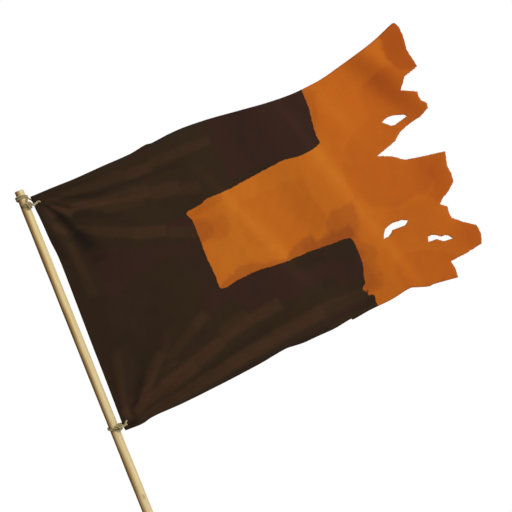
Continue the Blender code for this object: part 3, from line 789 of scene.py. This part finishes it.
twine = {
    "diameter": 6.5,
    "strands": 3,
    "lay": 22.0,  # length of one full twist
    "step": 0.9,
    "strandSides": 9,
    "strandOffset": 0.245,  # a strand's place and size, as shares of the twine's diameter
    "strandSize": 0.262,
    "fit": 0.6,  # the gap that the twine keeps from the pole
    "bearingStep": 15.0,
    "wraps": 2.0,
    "wrapPitch": 7.6,
    "wrapDepth": 7.5,
    "wrapStep": 20.0,
    "mapLength": 600.0,
    "fibres": (7, 75, 1),  # fibres round a strand and along the map, and how many degrees they lean
    "fibreLean": 20,
    "creviceShade": 0.6,  # how dark the painted shade in the seams between the strands is
    # the painted shade in the seams darkens from the second to the first of these: 1 faces out of the twine,
    # and -1 its middle
    "creviceShadeReach": (-0.5, 0.35),
    # painted shade is full this near to another stretch of the twine, and gone at the second distance
    "touching": (3.5, 5.6),
    "shadeStride": 4,  # every fourth point of the other stretch is looked at
    # the knot's middle strand as along, down and behind, from past its right end to the turn round its left
    "middleShare": 0.4,
    "pastRightEnd": (5, 0, 0),
    "roundLeftEnd": [
        (-1.5, 0, 0.3), (-5.8, -1.8, 0.6), (-8.4, -6.0, -1.3), (-6.6, -8.6, -5.6), (-2.6, -6.0, -8.0),
    ],
    # the third colour is painted shade in the seams between the strands, and the last painted shade where one
    # stretch lies against another
    "straw": "#8c7c53", "paleStraw": "#c9b987", "creviceShadeColour": "#3f3b28", "contactShade": "#3d382a",
}
ties = {
    "upperTwine": {
        "node": "upper_tie",
        "start": [
            (13.2, -23.2, 46.3), (17.8, -20.2, 42.5), (21.3, -16.2, 37.5), (21.2, -13.8, 33),
            (17, -15.4, 30.6),
        ],
        "turns": {"first": 660.0, "last": 95.0, "drop": 21.0, "tilt": 5.5, "pitch": 7.6},
        "throughEye": [
            (8, 24, 29.5), (17, 24, 34.5), (27, 17.5, 45), (34, 9.5, 58), (39.8, 7.2, 63.2), (43.9, 2.6, 64),
            (43.6, -2.4, 64), (40.4, -7.2, 64),
        ],
        "knot": {
            "centre": (18.2, -25.2, 63.8), "strand": (0.87, 0.48, 0.12), "lean": (0.288, 0, 0.958),
            "half": 11.2,
        },
        "freeEnd": [
            (30.8, -28.2, 68.6), (35.5, -26, 69.2), (41.5, -20.5, 65.5), (47.5, -15.5, 62.5), (54, -12, 62.5),
            (57.5, -11, 67),
        ],
    },
    "lowerTwine": {
        "node": "lower_tie",
        "start": [],
        "turns": {"first": 400.0, "last": 65.0, "drop": 892.0, "tilt": -2.0, "pitch": 36.0, "level": 165.0},
        "throughEye": [
            (27, 16.5, 909.5), (35, 10, 914.5), (40.8, 7.6, 918), (45.8, 3, 919), (45.6, -2.4, 919),
            (42.4, -7.2, 918.8),
        ],
        "knot": {
            "centre": (22.8, -26.4, 916.5), "strand": (0.85, 0.52, -0.05), "lean": (0.5, 0, 0.87),
            "half": 10.5,
        },
        "freeEnd": [
            (36.2, -29.3, 918), (39.4, -28.6, 920), (42.8, -25.2, 917.4), (46.2, -21, 912.5),
            (49.8, -17.2, 908.5), (53.5, -14, 905),
        ],
    },
}


def turnsRoundPole(first, last, drop, tilt, pitch, level=0.0):
    # a slanted helix on the pole, from one bearing in degrees to another, that climbs as far as the level one
    bearing = np.radians(np.arange(first, last - twine["bearingStep"] / 2, -twine["bearingStep"]))
    radius = poleRadius(drop) + twine["diameter"] / 2 + twine["fit"]
    down = drop + pitch * np.maximum(bearing, math.radians(level)) / math.tau + tilt * np.sin(bearing)
    return np.stack([radius * np.cos(bearing), radius * np.sin(bearing), down], axis=1)


def wrappedKnot(centre, strand, lean, half):
    # the twine runs back along the knot's middle, turns round its end, and wraps forward over itself in an
    # oval helix: its places are along the middle strand, down the knot and behind it
    along, down = unit(strand), unit(lean)
    behind = unit(np.cross(down, along))
    reach = twine["wrapPitch"] * twine["wraps"] / 2
    right, share = np.array((reach, 0, 0)), twine["middleShare"]
    leftEnd = np.array(twine["roundLeftEnd"]) - right
    middle = [right + twine["pastRightEnd"], share * right, -share * right, *leftEnd]
    turn = np.radians(np.arange(0, 360 * twine["wraps"] + 1, twine["wrapStep"]))
    forward = twine["wrapPitch"] * turn / math.tau - reach
    wraps = np.stack([forward, half * np.sin(turn), -twine["wrapDepth"] * np.cos(turn)], axis=1)
    return centre + np.vstack([middle, wraps]) @ np.stack([along, down, behind])


def tieRoute(tie):
    # the twine's middle line: its start, its turns round the pole, the eye, the knot and its free end
    wound, knot = turnsRoundPole(**tie["turns"]), wrappedKnot(**tie["knot"])
    return smoothLine([*tie["start"], *wound, *tie["throughEye"], *knot, *tie["freeEnd"]], twine["step"])


def carriedFrame(route):
    # a direction square to the route at each point, carried along it without twisting
    ahead = unit(np.gradient(route, axis=0))

    def carry(side, direction):
        # what the last direction keeps square to the route, made one long again
        return unit(side - direction * side.dot(direction))

    side = np.array(list(accumulate(ahead[1:], carry, initial=carry(np.array([0.0, 0.0, 1.0]), ahead[0]))))
    return side, np.cross(ahead, side)


def twineMaterial():
    # Hemp, three strands laid together: dull straw with painted shade in the seams between the strands and
    # where one stretch lies against another, and a hairy nap.
    material = newMaterial(
        "laidHempTwine", Roughness=0.88, IOR=1.5, Sheen_Weight=0.15, Specular_IOR_Level=0.25)
    mapped = addNode(material, "UVMap", uv_map="flat")
    # across the map is once round a strand and up it is the twine's length: the fibres lean across a strand
    fibres = addNode(material, "Mapping", {
        "Vector": mapped, "Scale": twine["fibres"], "Rotation": (0, 0, math.radians(twine["fibreLean"]))})
    hairs = addNode(material, "TexNoise", {"Vector": fibres, "Scale": 1.6, "Detail": 4.0, "Roughness": 0.6})
    creviceShade, contactShade = (
        addNode(material, "Attribute", output="Fac", attribute_name=name) for name in ("creviceShade", "contactShade"))
    colour = addCoats(material, linear(twine["straw"]), [
        (hairs, 0.3, 0.68, 1.0, twine["paleStraw"]), (creviceShade, 0.0, 1.0, twine["creviceShade"], twine["creviceShadeColour"]),
        (contactShade, 0.0, 1.0, 0.85, twine["contactShade"]),
    ])
    bump = addNode(material, "Bump", {"Height": hairs, "Strength": 0.6, "Distance": 0.0005})
    return finishMaterial(material, colour, bump)


def contactShadeOn(places, at, route, along):
    # painted shade where a point lies close to another stretch of the same twine, in one whole array of
    # distances
    samples = slice(None, None, twine["shadeStride"])
    gap = np.linalg.norm(places[:, None] - route[samples], axis=2)
    near = np.abs(at[:, None] - along[samples]) < 2 * twine["diameter"]
    return 1 - smoothStep(*twine["touching"], np.where(near, np.inf, gap).min(axis=1))


def makeTie(name, tie, material):
    # round strands, each a circle carried along a helix about the tie's route
    route = tieRoute(tie)
    along = np.arange(len(route)) * twine["step"]
    side, across = carriedFrame(route)
    offset, size = twine["diameter"] * twine["strandOffset"], twine["diameter"] * twine["strandSize"]
    turn = bearings(twine["strandSides"])
    at, rim = (grid.ravel() for grid in np.meshgrid(along, turn, indexing="ij"))
    places, faces = [], []
    for strand in range(twine["strands"]):
        lay = (along / twine["lay"] + strand / twine["strands"])[:, None] * math.tau
        outward = side * np.cos(lay) + across * np.sin(lay)
        around = across * np.cos(lay) - side * np.sin(lay)
        out, aside = (offset + size * np.cos(turn))[:, None], (size * np.sin(turn))[:, None]
        circle = route[:, None] + outward[:, None] * out + around[:, None] * aside
        places.append(circle.reshape(-1, 3))
        faces += [face[::-1] for face in tubeFaces(len(route), len(turn), strand * len(at))]
    places = np.vstack(places)
    at, rim = np.tile(at, twine["strands"]), np.tile(rim, twine["strands"])
    uv = np.stack([rim / math.tau, at / twine["mapLength"]], axis=1)
    # painted shade on the side of each strand that faces the twine's middle, in the seams between the strands
    creviceShade = 1 - smoothStep(*twine["creviceShadeReach"], np.cos(rim))
    # painted shade where the twine lies against another stretch of itself
    values = {"creviceShade": creviceShade, "contactShade": contactShadeOn(places, at, route, along)}
    print(f"{name}: {along[-1]:.0f} mm of twine")
    return fit(addMesh(name, inMetres(places), faces, material, uv, values), tie["node"])


studio = {
    "photoWidth": 1.8314,  # metres across the photograph at the flag
    "centre": (0.7002, 0.0, 1.5675),
    "distance": 7.0,
    "roll": 21.88,  # the pole leans back in the photograph
    "sensor": 36.0,
    "floorRadius": 1.9,
    "floorSides": 96,
    "floor": "#e9e7e3",
    "skyLight": (0.03, 0.75),  # from the hoist's side and from the fly's side
    "skySeen": 1.0,
}
lamps = {
    "key": {"towards": (0.45, -0.85, 0.27), "distance": 4.0, "size": 1.2, "watts": 100},
    "back": {"towards": (0.3, 0.9, 0.5), "distance": 4.0, "size": 2.5, "watts": 60},
}


def makeCamera():
    # square to the flag, level with its middle and rolled as the photograph is
    camera = addObject("camera", bpy.data.cameras.new("camera"))
    camera.location = np.array(studio["centre"]) - (0, studio["distance"], 0)
    camera.rotation_euler = (math.pi / 2, math.radians(studio["roll"]), 0)
    camera.data.sensor_width = studio["sensor"]
    camera.data.lens = studio["sensor"] * studio["distance"] / studio["photoWidth"]
    bpy.context.scene.camera = camera


def makeLamp(name, lamp):
    # a soft disc that stands off from the flag's middle and faces it
    light = addObject(name, bpy.data.lights.new(name, "AREA"))
    towards = Vector(lamp["towards"]).normalized()
    light.location = Vector(studio["centre"]) + towards * lamp["distance"]
    light.rotation_euler = towards.to_track_quat("Z", "Y").to_euler()
    light.data.shape = "DISK"
    light.data.size = lamp["size"]
    light.data.energy = lamp["watts"]


def makeSky():
    # the sky that lights the flag brightens from the hoist's side to the fly's, and what is seen is white
    world = bpy.data.worlds.new("studio")
    world.use_nodes = True
    bpy.context.scene.world = world
    dim, bright = studio["skyLight"]
    direction = addNode(world, "TexCoord", output="Generated")
    across = addNode(world, "SeparateXYZ", {0: direction}, "X")
    soft = addNode(world, "MapRange", {"Value": across, "From Min": -1.0, "To Min": dim, "To Max": bright})
    toCamera = addNode(world, "LightPath", output="Is Camera Ray")
    seen = addNode(world, "MapRange", {"Value": toCamera, "To Min": soft, "To Max": studio["skySeen"]})
    background = world.node_tree.nodes["Background"]
    background.inputs["Color"].default_value = (1, 1, 1, 1)
    world.node_tree.links.new(seen, background.inputs["Strength"])
    bpy.context.scene.view_settings.view_transform = "Standard"


def makeFloor():
    # a round sheet of pale paper, centred under the flag
    turn = bearings(studio["floorSides"])
    rim = studio["floorRadius"] * np.stack([np.cos(turn), np.sin(turn), 0 * turn], axis=1)
    paper = newMaterial("paleFloor", Roughness=0.9, Base_Color=linear(studio["floor"]))
    addMesh("floor", rim + (studio["centre"][0], 0, 0), [list(range(len(turn)))], paper)


makeCamera()
canvasFinish = canvasMaterial()
flag = makeCloth(canvasFinish)
threads = makeFray(canvasFinish)
makePole(woodMaterial())
hemp = twineMaterial()
for tieName, tie in ties.items():
    makeTie(tieName, tie, hemp)
for lampName, lamp in lamps.items():
    makeLamp(lampName, lamp)
makeSky()
makeFloor()
print("camera, lamps, sky and floor in place")
